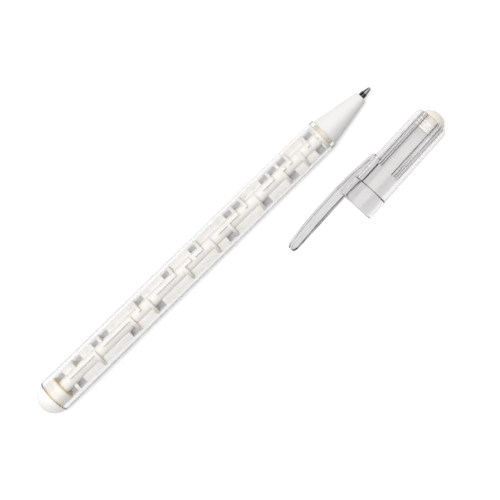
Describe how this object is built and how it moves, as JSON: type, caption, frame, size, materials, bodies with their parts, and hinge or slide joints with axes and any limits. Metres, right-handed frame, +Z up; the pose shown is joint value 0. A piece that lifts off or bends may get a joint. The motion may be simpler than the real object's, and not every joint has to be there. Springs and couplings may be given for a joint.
{
  "type": "maze pen",
  "caption": "Ballpoint pen with a clear barrel round a moulded maze, in which a small steel ball rolls, and a clear pull-off clip cap that lies beside it.",
  "frame": {"origin": "on the surface that the pen and its cap lie on, under the middle of the box round both", "axes": "+X along the pen towards its point, +Y from the cap towards the pen, +Z up"},
  "size_m": [0.1588, 0.0362, 0.013],
  "materials": {
    "clear_barrel": "clear, polished",
    "maze_ivory": "satin moulding",
    "plug_white": "satin gloss",
    "nose_white": "satin moulding",
    "refill_plastic": "milky",
    "ink": "dark blue ink",
    "point_metal": "nickel-bright turned metal",
    "writing_metal": "polished",
    "ball_steel": "polished",
    "clear_cap": "clear, polished",
    "stopper_cream": "satin gloss"
  },
  "bodies": {
    "pen": {"barrel_tube": "clear_barrel", "maze_core": "maze_ivory", "end_plug": "plug_white", "nose_cone": "nose_white", "refill_tube": "refill_plastic", "ink_column": "ink", "point_body": "point_metal"},
    "maze_ball": {"maze_ball": "ball_steel"},
    "writing_ball": {"writing_ball": "writing_metal"},
    "cap": {"cap_shell": "clear_cap", "cap_plug": "stopper_cream"}
  },
  "joints": [
    {"name": "cap_pull", "type": "slide", "parent": "pen", "child": "cap", "axis": [0.9983, 0.0584, 0], "range_m": [0, 0.045]},
    {"name": "ball_roll", "type": "slide", "parent": "pen", "child": "maze_ball", "axis": [1, 0, -0.0041], "range_m": [-0.0064, 0.0064]},
    {"name": "writing_spin", "type": "hinge", "parent": "pen", "child": "writing_ball", "pos_m": [0.06901, 0.01214, 0.00542], "axis": [0, 1, 0], "continuous": true}
  ]
}
